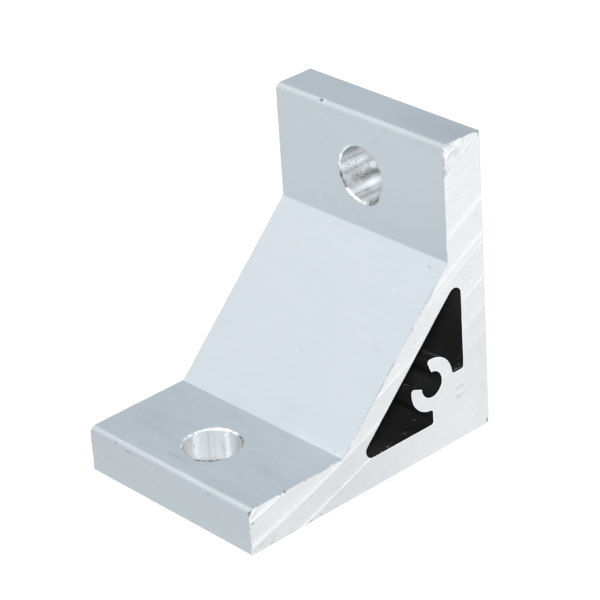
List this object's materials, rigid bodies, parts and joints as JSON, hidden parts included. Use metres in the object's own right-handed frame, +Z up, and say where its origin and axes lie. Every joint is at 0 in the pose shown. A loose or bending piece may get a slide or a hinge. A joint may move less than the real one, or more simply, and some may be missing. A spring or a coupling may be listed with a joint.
{
  "type": "profile corner bracket",
  "caption": "Right-angle bracket of sawn aluminium extrusion with a hollow gusset, an open screw port inside it and a bolt hole through each leg, for joining slotted profiles.",
  "frame": {"origin": "on the heel edge, where the mounting faces of the foot and the upright meet, at the middle of the width", "axes": "+Z up the upright, -Y along the foot from heel to tip, +X across the width along the extrusion"},
  "size_m": [0.036, 0.05, 0.05],
  "materials": {
    "anodised_aluminium": "matte silver anodised, with bare metal on the sawn ends and in the drilled holes"
  },
  "bodies": {
    "root": {"bracket": "anodised_aluminium"}
  },
  "joints": []
}
